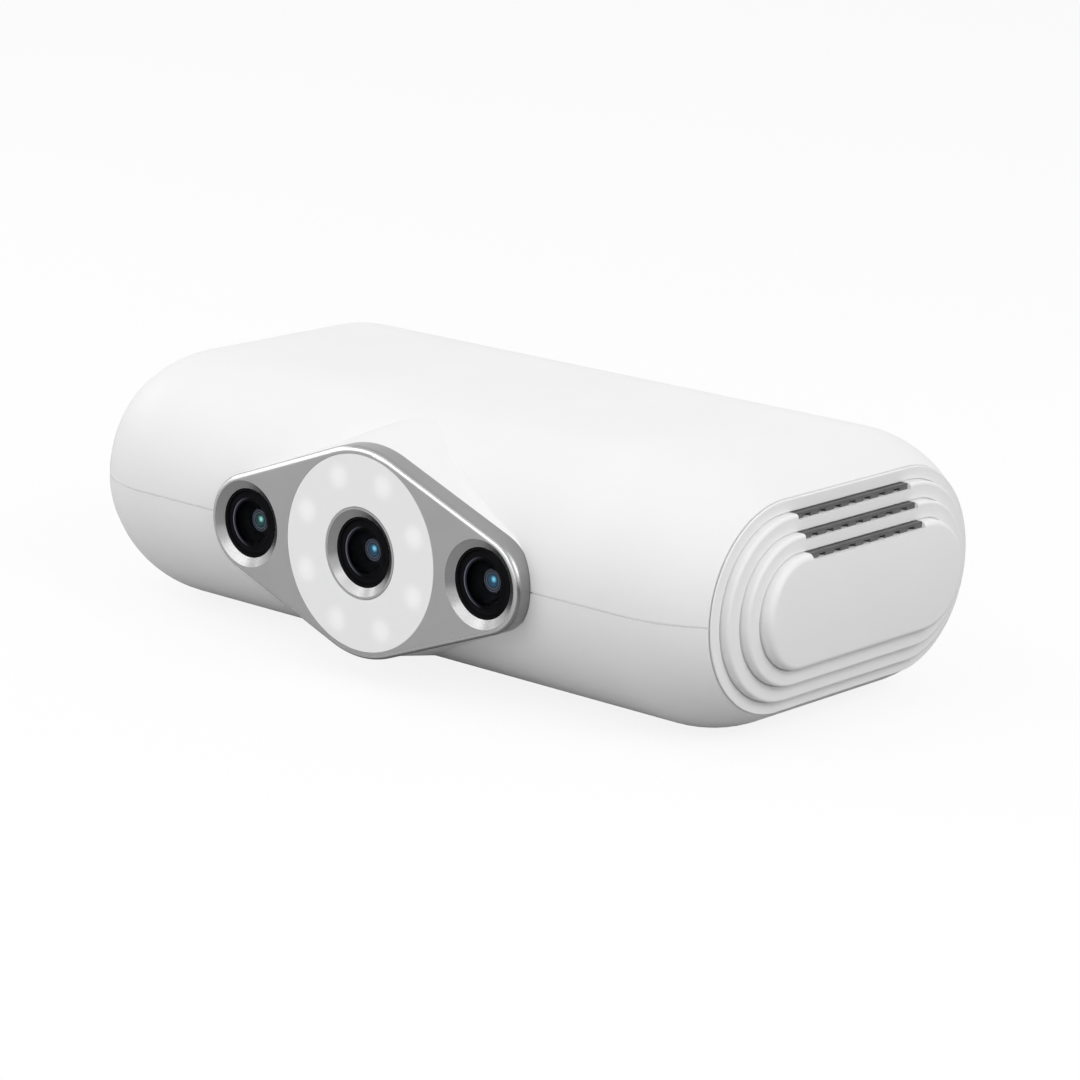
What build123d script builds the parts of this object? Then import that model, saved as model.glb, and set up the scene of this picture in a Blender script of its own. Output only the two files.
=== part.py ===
from build123d import *
import math
import os

os.makedirs("parts", exist_ok=True)

# Every length is in millimetres and every angle in degrees.
# The model is built about the middle of the rounded body and moved at the end,
# so that the origin is the bottom centre of the whole object.

# Rounded body, the seam share places the end seams on the rounded ends
overall_length = 155.0
body_height = 46.0
body_depth = 80.0
cap_length = 6.3
seam_share = 0.6
shell_wall = 2.2
skin_depth = 0.8
parting_groove = 0.3
overrun = 1.0

# Front bezel, standing a little in front of the case
bezel_proud = 3.0
bezel_margin = 4.2
bezel_end_radius = 8.9
bezel_thickness = 3.9
bezel_round = 1.0
bezel_gap = 0.06
bezel_rim = 1.34
lens_web = 2.54
lens_hole_radius = 6.25
lens_hole_mouth = 7.8
lens_mouth_depth = 0.92
bezel_post_inset = 4.5
bezel_post_radius = 1.8

# Nose that carries the bezel, widening backwards until it sinks into the case
nose_wall = 1.4
nose_sink = 0.15

# End caps, each a rim with three raised terraces
seam_gap = 0.25
cap_rim_inset = 0.2
cap_rim_height = 0.3
cap_rim_round = 0.2
first_terrace_width = 2.3
terrace_width = 3.05
terrace_round = 0.6
pad_round = 1.1
pad_crown = 0.6
crease_width = 0.25
crease_depth = 0.35
cap_wall = 1.7
neck_inset = 1.6
neck_gap = 0.1
neck_wall = 1.0
flange_width = 0.9
flange_thickness = 1.6
flange_gap = 0.3
slot_share = 0.91
slot_depth = 1.05
comb_recess = 0.7
comb_thickness = 1.2
comb_windows = 7
comb_rib = 2.2
comb_bar = 0.45

# Screws, one radius for the shank and one for the head of each kind
m2_shank = 0.95
m2_head = 1.8
m2_head_height = 1.3
m2_pilot = 1.0
m2_clear = 1.15
m25_shank = 1.2
m25_head = 2.2
m25_head_height = 1.6
m25_pilot = 1.25
m25_clear = 1.4

# Shell screw bosses
shell_boss_inset = 7.4
shell_boss_share = 0.65
lower_boss_radius = 4.2
upper_boss_radius = 3.4
shell_screw_seat = 11.0
shell_screw_reach = 7.0
counterbore_gap = 0.4

# Tripod insert
insert_share = 0.2261
insert_radius = 5.0
insert_flange = 6.4
insert_flange_height = 1.3
insert_recess = 0.2
insert_bore = 2.55
insert_cap = 2.5
insert_boss = 8.0
insert_gap = 0.02

# Ring light, the shares place lamps and screws across the hollow of its diffuser
ring_inner = 8.2
ring_front_wall = 1.5
ring_skirt = 1.1
led_board_gap = 0.3
led_board_inner = 6.5
led_board_thickness = 1.2
led_count = 8
led_share = 0.7
led_size = 2.0
led_height = 0.9
led_screw_count = 4
led_screw_share = 0.06
lens_ring_radius = 8.1
lens_ring_mouth = 7.7

# Optical bench
bench_setback = 3.1
bench_thickness = 3.5
bench_gap = 0.4
bench_spacer_radius = 1.9
ear_length = 12.2
ear_overlap = 9.0
ear_bottom = -7.5
ear_height = 7.4
ear_screw_inset = 5.0
ear_screw_z = -4.0
ear_boss_radius = 2.4
ear_screw_grip = 2.2

# Lens housings
barrel_radius = 6.05
barrel_gap = 0.04
barrel_recess = 0.95
hood_mouth = 5.8
hood_depth = 1.2
hood_steps = 2
front_lens_radius = 5.4
lens_gap = 0.05
front_lens_edge = 0.7
front_lens_dome = 1.6
funnel_mouth = 5.0
funnel_depth = 0.4
iris_radius = 2.1
iris_thickness = 0.25
inner_lens_radius = 4.6
inner_lens_edge = 1.0
inner_lens_dome = 0.8
housing_side = 15.0
housing_depth = 4.5
pattern_thickness = 0.8
sensor_board_side = 16.0
sensor_board_thickness = 1.2
sensor_width = 7.0
sensor_tall = 5.2
sensor_thickness = 1.0
emitter_side = 4.0
emitter_height = 1.4
sensor_screw_offset = 6.2
sensor_screw_head = 1.4
sensor_screw_length = 3.2
projector_sink_width = 8.4
projector_sink_clear = 1.325
projector_sink_tall = 9.6
projector_sink_base = 1.2
projector_sink_depth = 6.0
projector_sink_fins = 4
projector_fin = 0.9

# Flat ribbons from the optics to the main board
ribbon_length = 7.8
ribbon_width = 7.0
ribbon_thickness = 0.35
ribbon_bow = 1.5
ribbon_straight = 1.5
ribbon_bend = 0.8
connector_width = 8.0
connector_tall = 1.6
connector_depth = 3.0

# Main board and what it carries, the shares are of the board's length
board_lift = 3.7
board_thickness = 1.6
board_boss_gap = 3.8
board_panel_gap = 2.0
board_screw_inset = 5.0
board_post_radius = 2.8
board_screw_length = 6.0
processor_side = 14.0
processor_height = 1.4
sink_share = 0.4
sink_width = 22.0
sink_base = 2.0
sink_height = 9.0
sink_fins = 9
sink_fin = 1.2
memory_share = 0.3
memory_gap = 4.5
memory_length = 11.0
memory_width = 8.0
memory_height = 1.1
memory_spacing = 16.0
inductor_share = 0.32
inductor_gap = 5.5
inductor_side = 6.0
inductor_height = 3.2
inductor_spacing = 8.0
inductor_count = 3

# Rear panel in its recess
rear_length = 64.0
rear_height = 20.0
panel_gap = 0.15
panel_setback = 5.0
panel_thickness = 2.0
collar_wall = 2.0
ledge_width = 1.2
ledge_depth = 1.5

# Scan button with its switch
button_radius = 5.0
button_gap = 0.15
button_proud = 1.2
button_round = 0.5
button_flange = 6.0
button_flange_thickness = 1.2
button_stem = 1.5
button_stem_length = 1.4
button_travel = 0.6
switch_side = 6.0
switch_depth = 3.4
plunger_radius = 1.6
plunger_gap = 0.1
plunger_proud = 0.8
plunger_length = 2.0
button_board_thickness = 1.2
button_board_length = 22.0
button_board_tall = 12.0

# Status light
light_x = 8.6
light_radius = 1.2
light_flange = 1.8
light_flange_thickness = 1.0
light_proud = 0.2
status_led_width = 1.6
status_led_height = 0.8

# Sockets
data_x = -18.0
data_width = 8.94
data_tall = 3.16
data_depth = 7.3
data_shell_wall = 0.3
data_floor = 1.0
tongue_width = 6.7
tongue_tall = 0.7
tongue_reach = 4.4
power_x = 18.0
power_width = 9.0
power_tall = 9.0
power_depth = 14.0
power_bore = 3.1
power_bore_depth = 9.5
power_pin_radius = 1.05
power_pin_reach = 8.0
socket_gap = 0.2

# Cooling fan behind the right end cap
fan_inset = 4.0
fan_depth = 8.0
fan_setback = 13.8
fan_wall = 1.1
fan_hole_inset = 2.5
fan_boss_radius = 2.0
fan_hub_radius = 5.0
fan_hub_thickness = 1.4
fan_strut = 1.6
bearing_radius = 1.7
bearing_bore = 0.9
bearing_length = 4.0
rotor_gap = 0.4
rotor_hub = 5.4
rotor_hub_wall = 0.9
rotor_length = 5.4
shaft_radius = 0.86
shaft_length = 4.4
blade_count = 7
blade_thickness = 0.9
blade_angle = 38.0
blade_length = 7.6

# Sizes that follow from the ones above: body and end caps
body_radius = body_height / 2
core_half_y = body_depth / 2 - body_radius
seam_x = overall_length / 2 - cap_length
core_half_x = seam_x - seam_share * body_radius
seam_radius = body_radius * math.sqrt(1 - seam_share * seam_share)
cap_rim_radius = seam_radius - cap_rim_inset
cap_plane = seam_x + seam_gap + cap_rim_height
pad_plane = overall_length / 2
terrace_count = 3
terrace_step = (pad_plane - pad_crown - cap_plane) / terrace_count
terrace_planes = [cap_plane + terrace_step * k for k in range(terrace_count + 1)]
first_terrace = cap_rim_radius - first_terrace_width
terrace_radii = [first_terrace - terrace_width * k for k in range(terrace_count)]
pad_radius = terrace_radii[-1]
crown_radius = (pad_radius**2 + pad_crown**2) / (2 * pad_crown)
neck_radius = cap_rim_radius - neck_inset
flange_radius = neck_radius + flange_width
inner_radius = body_radius - shell_wall
flange_reach = math.sqrt(inner_radius**2 - (flange_radius + flange_gap) ** 2)
flange_front = core_half_x + flange_reach - flange_gap
flange_back = flange_front - flange_thickness
slot_length = 2 * core_half_y * slot_share

# Front group, from the bezel's face back to the ribbons
bezel_reach = body_depth / 2 + bezel_proud
row_y = bezel_proud / 2
bezel_front = -bezel_reach
nose_front = bezel_front + bezel_thickness
bezel_centre_radius = body_radius - bezel_margin
ring_radius = bezel_centre_radius - bezel_rim - bezel_gap
lens_pitch = ring_radius + bezel_gap + lens_hole_mouth + lens_web
led_board_radius = ring_radius - led_board_gap
hollow_inner = ring_inner + ring_skirt
hollow_outer = ring_radius - ring_skirt
led_room = hollow_outer - hollow_inner - led_size
led_circle_radius = hollow_inner + led_size / 2 + led_share * led_room
led_screw_room = hollow_outer - hollow_inner - 2 * sensor_screw_head
led_screw_radius = hollow_inner + sensor_screw_head + led_screw_share * led_screw_room
led_board_back = nose_front + led_board_thickness
bench_front = nose_front + bench_setback
bench_back = bench_front + bench_thickness
barrel_front = bezel_front + barrel_recess
housing_back = bench_back + housing_depth
sensor_board_back = housing_back + sensor_board_thickness
ribbon_start = sensor_board_back + connector_depth
bezel_post_x = lens_pitch - housing_side / 2 - m2_head - socket_gap
bezel_lean = (bezel_centre_radius - bezel_end_radius) / lens_pitch
bezel_rise = math.sqrt(1 - bezel_lean * bezel_lean)
bezel_post_z = (bezel_centre_radius - bezel_post_x * bezel_lean) / bezel_rise - bezel_post_inset
ear_start = lens_pitch + bezel_end_radius - ear_overlap
ear_reach = ear_start + ear_overlap + ear_length - nose_wall
ear_screw_x = ear_reach - ear_screw_inset
lens_places = {"projector": -lens_pitch, "colour": 0.0, "infrared": lens_pitch}

# Rear group and the board between
panel_inner = body_depth / 2 - panel_setback
panel_outer = panel_inner + panel_thickness
shell_boss_x = core_half_x - shell_boss_inset
shell_boss_y = core_half_y * shell_boss_share
insert_height = insert_share * body_height
insert_top = -body_radius + insert_height
insert_mouth = -body_radius + insert_recess
insert_bore_depth = insert_height + insert_flange_height - insert_recess - insert_cap
board_bottom = insert_top + insert_flange_height + board_lift
board_top = board_bottom + board_thickness
board_half = shell_boss_x - lower_boss_radius - board_boss_gap
board_front = ribbon_start + ribbon_length
board_back = panel_inner - board_panel_gap
connectors_back = board_front + connector_depth
power_back = panel_outer - power_depth
processor_y = (connectors_back + power_back) / 2
sink_length = 2 * board_half * sink_share
memory_x = 2 * board_half * memory_share
inductor_x = 2 * board_half * inductor_share
flange_inner = panel_inner - button_flange_thickness
plunger_tip = flange_inner - button_stem_length
switch_face = plunger_tip - plunger_proud
switch_back = switch_face - switch_depth
fan_side = 2 * (neck_radius - fan_inset)
fan_bore = fan_side / 2 - fan_wall
fan_hole_offset = fan_side / 2 - fan_hole_inset
fan_back = seam_x - fan_setback
fan_front = fan_back + fan_depth
rotor_tip = fan_bore - rotor_gap


def along_x(sketch, start, end):
    return extrude(Plane.YZ.offset(start) * sketch, amount=end - start)


def along_y(sketch, front, back):
    return extrude(Plane.XZ.offset(-back) * sketch, amount=back - front)


def along_z(sketch, bottom, top):
    return extrude(Plane.XY.offset(bottom) * sketch, amount=top - bottom)


def block(x, y, z):
    """A box from its three pairs of ends."""
    sketch = Pos((x[0] + x[1]) / 2, (y[0] + y[1]) / 2) * Rectangle(x[1] - x[0], y[1] - y[0])
    return along_z(sketch, z[0], z[1])


def rod_y(radius, front, back, x=0, z=0):
    return along_y(Pos(x, z) * Circle(radius), front, back)


def rod_z(radius, bottom, top, x=0, y=0):
    return along_z(Pos(x, y) * Circle(radius), bottom, top)


def rod_x(radius, start, end, y=0, z=0):
    return along_x(Pos(y, z) * Circle(radius), start, end)


def cone_y(front_radius, back_radius, front, back, x=0, z=0):
    """A round taper whose axis runs along Y."""
    points = [(0, front), (front_radius, front), (back_radius, back), (0, back)]
    return Pos(x, 0, z) * revolve(make_face(Polyline(*points, close=True)), Axis.Y)


def stadium(radius):
    return SlotCenterToCenter(2 * core_half_y, 2 * radius)


def pill(radius):
    """The flat core of the body grown by a radius all round."""
    outline = SlotCenterToCenter(2 * core_half_x, 2 * radius)
    middle = extrude(Plane.XZ * outline, amount=core_half_y, both=True)
    upper = Pos(0, radius / 2) * Rectangle(2 * core_half_x + 4 * radius, radius)
    front = Pos(0, -core_half_y, 0) * revolve(Plane.XZ * (outline & upper), Axis.X, 180)
    return middle + front + mirror(front, Plane.XZ)


def bezel_outline(grow):
    """Three circles in a row, the middle one large, with straight sides between them."""
    middle = bezel_centre_radius + grow
    end = bezel_end_radius + grow
    lean = (middle - end) / lens_pitch
    rise = math.sqrt(1 - lean * lean)
    inner = (middle * lean, middle * rise)
    tip = (lens_pitch + end * lean, end * rise)
    sides = []
    for sx in (1, -1):
        for sz in (1, -1):
            sides.append(Line((sx * inner[0], sz * inner[1]), (sx * tip[0], sz * tip[1])))
        far = (sx * (lens_pitch + end), 0)
        sides.append(ThreePointArc((sx * tip[0], tip[1]), far, (sx * tip[0], -tip[1])))
    for sz in (1, -1):
        crown = (0, sz * middle)
        sides.append(ThreePointArc((-inner[0], sz * inner[1]), crown, (inner[0], sz * inner[1])))
    return make_face(sides)


def screw(shank, length, head, head_height):
    """A round headed screw with its head above the XY plane and its shank below."""
    return rod_z(head, 0, head_height) + rod_z(shank, -length, 0)


def end_rounded(prism, radius):
    """Rounds the edges of a prism's face at its +X end."""
    face = prism.faces().sort_by(Axis.X)[-1]
    return fillet(face.edges(), radius)


parts = {}

# Shells, made whole and then parted at mid height
outer = pill(body_radius)
inner = pill(inner_radius)
skin = pill(body_radius - skin_depth)
nose_length = -core_half_y - nose_front
nose_draft = math.degrees(math.atan2(bezel_margin - nose_sink, nose_length))
nose_sketch = Plane.XZ.offset(-nose_front) * bezel_outline(0)
nose = extrude(nose_sketch, amount=-nose_length, taper=-nose_draft)
nose_cavity = along_y(bezel_outline(-nose_wall), nose_front - overrun, -core_half_y)
bezel_pocket = along_y(bezel_outline(bezel_gap), bezel_front, nose_front)
collar_outline = SlotOverall(rear_length + 2 * collar_wall, rear_height + 2 * collar_wall)
window_outline = SlotOverall(rear_length, rear_height)
ledge_outline = SlotOverall(rear_length - 2 * ledge_width, rear_height - 2 * ledge_width)
collar = along_y(collar_outline, panel_inner - ledge_depth, body_depth / 2) & skin
shell = (outer + nose) - inner - nose_cavity - bezel_pocket
shell = shell + collar
shell = shell - along_y(window_outline, panel_inner, body_depth / 2 + overrun)
shell = shell - along_y(ledge_outline, panel_inner - ledge_depth - overrun, panel_outer)
shell = shell & Box(2 * seam_x, 2 * body_depth, 2 * body_height)
for side in (1, -1):
    ends = sorted((side * core_half_x, side * (seam_x + overrun)))
    shell = shell - along_x(stadium(neck_radius + neck_gap), *ends)

upper_half = Pos(0, 0, body_height) * Box(2 * overall_length, 2 * body_depth, 2 * body_height)
lower_half = Pos(0, 0, -body_height) * Box(2 * overall_length, 2 * body_depth, 2 * body_height)
groove_band = Pos(0, 0, -parting_groove / 2) * Box(overall_length, 2 * body_depth, parting_groove)
groove_ring = (pill(body_radius + overrun) - pill(body_radius - parting_groove)) & groove_band

upper = shell & upper_half
lower = (shell & lower_half) - groove_ring
boss_places = [(sx * shell_boss_x, sy * shell_boss_y) for sx in (1, -1) for sy in (1, -1)]
for x, y in boss_places:
    upper = upper + (rod_z(upper_boss_radius, 0, body_radius, x, y) & skin)
    lower = lower + (rod_z(lower_boss_radius, -body_radius, 0, x, y) & skin)
for x, y in boss_places:
    upper = upper - rod_z(m25_pilot, -overrun, shell_screw_reach + overrun, x, y)
    lower = lower - rod_z(m25_clear, -body_height, overrun, x, y)
    counterbore = m25_head + counterbore_gap
    lower = lower - rod_z(counterbore, -body_height, -shell_screw_seat, x, y)

# Lower shell: posts for the board, bosses for the bench and the tripod insert
board_screw_rows = (board_front + board_screw_inset, board_back - board_screw_inset)
board_screw_x = board_half - board_screw_inset
board_places = [(sx * board_screw_x, y) for sx in (1, -1) for y in board_screw_rows]
for x, y in board_places:
    lower = lower + (rod_z(board_post_radius, -body_radius, board_bottom, x, y) & skin)
    lower = lower - rod_z(m2_pilot, board_top - board_screw_length - overrun, 0, x, y)
ear_places = [sx * ear_screw_x for sx in (1, -1)]
for x in ear_places:
    boss = rod_y(ear_boss_radius, -body_depth, bench_front, x, ear_screw_z) & skin
    lower = lower + boss
    lower = lower - rod_y(m2_pilot, bench_front - ear_screw_grip, 0, x, ear_screw_z)
lower = lower + (rod_z(insert_boss, -body_radius, insert_top) & skin)
lower = lower - rod_z(insert_radius + insert_gap, -body_height, insert_top)
parts["upper_shell"] = upper
parts["lower_shell"] = lower

# Tripod insert, pushed in from inside so its flange takes the pull
insert = rod_z(insert_radius, insert_mouth, insert_top)
insert = insert + rod_z(insert_flange, insert_top, insert_top + insert_flange_height)
insert = insert - rod_z(insert_bore, -body_height, insert_mouth + insert_bore_depth)
parts["tripod_insert"] = insert

shell_screw = Rot(180, 0, 0) * screw(
    m25_shank, shell_screw_seat + shell_screw_reach, m25_head, m25_head_height
)
parts["shell_screws"] = [Pos(x, y, -shell_screw_seat) * shell_screw for x, y in boss_places]

# End caps
slot_span = (-slot_length / 2, slot_length / 2)
tier_rounds = [terrace_round] * (terrace_count - 1) + [pad_round]
tier_tops = terrace_planes[1:-1] + [pad_plane]
pad_crowning = along_y(Pos(pad_plane - crown_radius, 0) * Circle(crown_radius), -body_depth, body_depth)


def end_cap(bosses):
    """The right hand cap, on bosses for the fan where they are asked for."""
    rim = along_x(stadium(cap_rim_radius), seam_x + seam_gap, cap_plane)
    cap = end_rounded(rim, cap_rim_round)
    cap = cap + along_x(stadium(neck_radius), flange_back, cap_plane - cap_rim_height)
    cap = cap + along_x(stadium(flange_radius), flange_back, flange_front)
    for radius, plane, edge in zip(terrace_radii, tier_tops, tier_rounds):
        tier = along_x(stadium(radius), cap_plane - cap_rim_height, plane) & pad_crowning
        cap = cap + end_rounded(tier, edge)
    for radius, plane in zip(terrace_radii, terrace_planes):
        crease = stadium(radius + crease_width) - stadium(radius)
        cap = cap - along_x(crease, plane - crease_depth, plane)
    pockets = [neck_radius - neck_wall] + [radius - cap_wall for radius in terrace_radii]
    for radius, plane in zip(pockets, terrace_planes):
        cap = cap - along_x(stadium(radius), flange_back - overrun, plane - cap_wall)
    if bosses:
        for y, z in fan_places:
            cap = cap + rod_x(fan_boss_radius, fan_front, terrace_planes[1] - cap_wall / 2, y, z)
            cap = cap - rod_x(m2_pilot, fan_front, cap_plane - cap_wall, y, z)
    for riser, low, high in zip(terrace_radii, terrace_planes, terrace_planes[1:]):
        through = (low - cap_wall - overrun, high + overrun)
        cap = cap - block(through, slot_span, (riser - slot_depth, riser))
    return cap


def vent_comb(riser, high):
    """A bar with teeth that stands in a slot, with windows between the teeth."""
    bar_x = (high - comb_recess - comb_thickness, high - comb_recess)
    comb = block(bar_x, slot_span, (riser - slot_depth, riser))
    spacing = (slot_length - comb_rib) / comb_windows
    for i in range(comb_windows):
        start = slot_span[0] + comb_rib + i * spacing
        window = (start, start + spacing - comb_rib)
        comb = comb - block(bar_x, window, (riser - slot_depth, riser - comb_bar))
    return comb


fan_places = [(sy * fan_hole_offset, sz * fan_hole_offset) for sy in (1, -1) for sz in (1, -1)]
parts["right_end_cap"] = end_cap(True)
parts["left_end_cap"] = mirror(end_cap(False), Plane.YZ)
combs = [vent_comb(riser, high) for riser, high in zip(terrace_radii, terrace_planes[1:])]
parts["vent_combs"] = combs + [mirror(comb, Plane.YZ) for comb in combs]

# Front bezel with posts that take the bench screws
plate = along_y(bezel_outline(0), bezel_front, nose_front)
bezel = fillet(plate.faces().sort_by(Axis.Y)[0].edges(), bezel_round)
post_places = [(sx * bezel_post_x, sz * bezel_post_z) for sx in (1, -1) for sz in (1, -1)]
for x, z in post_places:
    bezel = bezel + rod_y(bezel_post_radius, nose_front, bench_front, x, z)
    bezel = bezel - rod_y(m2_pilot, nose_front - overrun, bench_front, x, z)
bezel = bezel - rod_y(ring_radius + bezel_gap, bezel_front - overrun, nose_front + overrun)
mouth_back = bezel_front + lens_mouth_depth
for x in (lens_pitch, -lens_pitch):
    bezel = bezel - rod_y(lens_hole_radius, bezel_front, nose_front, x)
    bezel = bezel - cone_y(lens_hole_mouth, lens_hole_radius, bezel_front, mouth_back, x)
parts["front_bezel"] = bezel

# Ring light: a hollow diffuser standing on a ring of light sources
diffuser = rod_y(ring_radius, bezel_front, nose_front)
diffuser = diffuser - rod_y(ring_inner, bezel_front, nose_front)
pocket_front = bezel_front + ring_front_wall
pocket = rod_y(hollow_outer, pocket_front, nose_front)
diffuser = diffuser - (pocket - rod_y(hollow_inner, pocket_front, nose_front))
parts["ring_diffuser"] = diffuser
led_board = rod_y(led_board_radius, nose_front, led_board_back)
led_board = led_board - rod_y(led_board_inner, nose_front, led_board_back)


def polar(count, radius, first):
    """Places round a circle in the XZ plane."""
    angles = [math.radians(first + 360 * i / count) for i in range(count)]
    return [(radius * math.cos(a), radius * math.sin(a), math.degrees(a)) for a in angles]


led_screw_places = [place[:2] for place in polar(led_screw_count, led_screw_radius, 0)]
for x, z in led_screw_places:
    led_board = led_board - rod_y(m2_clear, nose_front, led_board_back, x, z)
parts["led_board"] = led_board
led_sketch = Rectangle(led_size, led_size)
parts["ring_leds"] = [
    along_y(Pos(x, z) * Rot(0, 0, angle) * led_sketch, nose_front - led_height, nose_front)
    for x, z, angle in polar(led_count, led_circle_radius, 180 / led_count)
]
lens_ring = rod_y(lens_ring_radius, bezel_front, nose_front)
lens_ring = lens_ring - rod_y(lens_hole_radius, bezel_front, nose_front)
lens_ring = lens_ring - cone_y(lens_ring_mouth, lens_hole_radius, bezel_front, mouth_back)
parts["centre_lens_ring"] = lens_ring

# Optical bench, one stiff plate that keeps the three optics in line
bench = along_y(bezel_outline(-nose_wall - bench_gap), bench_front, bench_back)
for sx in (1, -1):
    ear_ends = sorted((sx * ear_start, sx * ear_reach))
    ear_z = (ear_bottom, ear_bottom + ear_height)
    bench = bench + block(ear_ends, (bench_front, bench_back), ear_z)
for x, z in led_screw_places:
    bench = bench + rod_y(bench_spacer_radius, led_board_back, bench_front, x, z)
    bench = bench - rod_y(m2_pilot, led_board_back, bench_back, x, z)
for x, z in post_places:
    bench = bench - rod_y(m2_clear, bench_front, bench_back, x, z)
for x in ear_places:
    bench = bench - rod_y(m2_clear, bench_front, bench_back, x, ear_screw_z)
for x in lens_places.values():
    bench = bench - rod_y(barrel_radius + barrel_gap, bench_front, bench_back, x)
parts["optical_bench"] = bench

# Screws of the front group, heads towards the back except on the light board
from_back = Rot(-90, 0, 0)
from_front = Rot(90, 0, 0)
bezel_grip = bench_thickness + bench_front - nose_front
bezel_screw = from_back * screw(m2_shank, bezel_grip, m2_head, m2_head_height)
parts["bezel_screws"] = [Pos(x, bench_back, z) * bezel_screw for x, z in post_places]
bench_grip = bench_thickness + ear_screw_grip - skin_depth / 2
bench_screw = from_back * screw(m2_shank, bench_grip, m2_head, m2_head_height)
parts["bench_screws"] = [Pos(x, bench_back, ear_screw_z) * bench_screw for x in ear_places]
led_grip = bench_back - nose_front - overrun
led_screw = from_front * screw(m2_shank, led_grip, sensor_screw_head, m2_head_height)
parts["led_board_screws"] = [Pos(x, nose_front, z) * led_screw for x, z in led_screw_places]

# Three lens housings on the same plan, each with two lenses and a board behind
seat_front = barrel_front + hood_depth
front_lens_back = seat_front + front_lens_edge
funnel_back = front_lens_back + funnel_depth
iris_back = funnel_back + iris_thickness
front_bore = front_lens_radius + lens_gap
rear_bore = inner_lens_radius + lens_gap
screw_corners = ((1, 1), (-1, -1))


def dome_lens(radius, edge, dome, back):
    """A lens flat behind and domed in front."""
    curve = (radius * radius + dome * dome) / (2 * dome)
    tip = back - edge - dome
    half = radius / 2
    midway = (half, tip + curve - math.sqrt(curve * curve - half * half))
    profile = [
        Polyline((0, tip), (0, back), (radius, back), (radius, back - edge)),
        ThreePointArc((radius, back - edge), midway, (0, tip)),
    ]
    return revolve(make_face(profile), Axis.Y)


for name, x in lens_places.items():
    housing = rod_y(barrel_radius, barrel_front, bench_back)
    square = Rectangle(housing_side, housing_side)
    housing = housing + along_y(square, bench_back, housing_back)
    for step in range(hood_steps):
        reach = hood_depth * (step + 1) / hood_steps
        width = hood_mouth - (hood_mouth - front_bore) * step / hood_steps
        housing = housing - rod_y(width, barrel_front, barrel_front + reach)
    housing = housing - rod_y(front_bore, seat_front, front_lens_back)
    housing = housing - cone_y(funnel_mouth, iris_radius, front_lens_back, funnel_back)
    housing = housing - rod_y(iris_radius, funnel_back, iris_back)
    housing = housing - rod_y(rear_bore, iris_back, housing_back)
    board = along_y(Rectangle(sensor_board_side, sensor_board_side), housing_back, sensor_board_back)
    for sx, sz in screw_corners:
        corner = (sx * sensor_screw_offset, sz * sensor_screw_offset)
        housing = housing - rod_y(m2_pilot, bench_back + overrun, housing_back, *corner)
        board = board - rod_y(m2_clear, housing_back, sensor_board_back, *corner)
    front_lens = dome_lens(front_lens_radius, front_lens_edge, front_lens_dome, front_lens_back)
    inner_lens = mirror(dome_lens(inner_lens_radius, inner_lens_edge, inner_lens_dome, 0), Plane.XZ)
    inner_lens = Pos(0, iris_back, 0) * inner_lens
    parts[name + "_housing"] = Pos(x, 0, 0) * housing
    parts[name + "_front_lens"] = Pos(x, 0, 0) * front_lens
    parts[name + "_inner_lens"] = Pos(x, 0, 0) * inner_lens
    parts[name + "_board"] = Pos(x, 0, 0) * board

# What each board carries: two image sensors and the projector's light with its slide
sensor = along_y(Rectangle(sensor_width, sensor_tall), housing_back - sensor_thickness, housing_back)
for name in ("colour", "infrared"):
    parts[name + "_sensor"] = Pos(lens_places[name], 0, 0) * sensor
projector_x = lens_places["projector"]
emitter_front = housing_back - emitter_height
emitter = along_y(Rectangle(emitter_side, emitter_side), emitter_front, housing_back)
parts["projector_emitter"] = Pos(projector_x, 0, 0) * emitter
slide_front = emitter_front - pattern_thickness
parts["projector_slide"] = rod_y(inner_lens_radius, slide_front, emitter_front, projector_x)
ribbon_crest = board_top + connector_tall / 2 + ribbon_bow + ribbon_thickness / 2
projector_sink_bottom = ribbon_crest + projector_sink_clear
sink_front = sensor_board_back + projector_sink_base
sink_ends = (projector_sink_bottom, projector_sink_bottom + projector_sink_tall)
sink_x = (projector_x - projector_sink_width / 2, projector_x + projector_sink_width / 2)
projector_sink = block(sink_x, (sensor_board_back, sink_front), sink_ends)
projector_fin_pitch = (projector_sink_width - projector_fin) / (projector_sink_fins - 1)
for i in range(projector_sink_fins):
    fin_start = sink_x[0] + i * projector_fin_pitch
    fin_y = (sink_front, sensor_board_back + projector_sink_depth)
    projector_sink = projector_sink + block((fin_start, fin_start + projector_fin), fin_y, sink_ends)
parts["projector_heat_sink"] = projector_sink
sensor_screw = from_back * screw(
    m2_shank, sensor_screw_length, sensor_screw_head, m2_head_height
)
parts["sensor_board_screws"] = [
    Pos(x + sx * sensor_screw_offset, sensor_board_back, sz * sensor_screw_offset) * sensor_screw
    for x in lens_places.values()
    for sx, sz in screw_corners
]

# Ribbons that run straight back from the optics to the main board
ribbon_z = board_top + connector_tall / 2
board_connector_y = (board_front, board_front + connector_depth)
connector_z = (board_top, board_top + connector_tall)
bow = [
    (ribbon_start, 0),
    (ribbon_start + ribbon_straight, 0),
    (ribbon_start + 2 * ribbon_straight, ribbon_bow),
    (board_front - 2 * ribbon_straight, ribbon_bow),
    (board_front - ribbon_straight, 0),
    (board_front, 0),
]
bow_path = FilletPolyline(*[(y, ribbon_z + z) for y, z in bow], radius=ribbon_bend)
ribbon_sketch = trace(bow_path, ribbon_thickness)
connectors = []
for name, x in lens_places.items():
    half = connector_width / 2
    connectors.append(block((x - half, x + half), (sensor_board_back, ribbon_start), connector_z))
    connectors.append(block((x - half, x + half), board_connector_y, connector_z))
    ribbon = along_x(ribbon_sketch, x - ribbon_width / 2, x + ribbon_width / 2)
    parts[name + "_ribbon"] = ribbon
parts["ribbon_connectors"] = connectors

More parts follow.
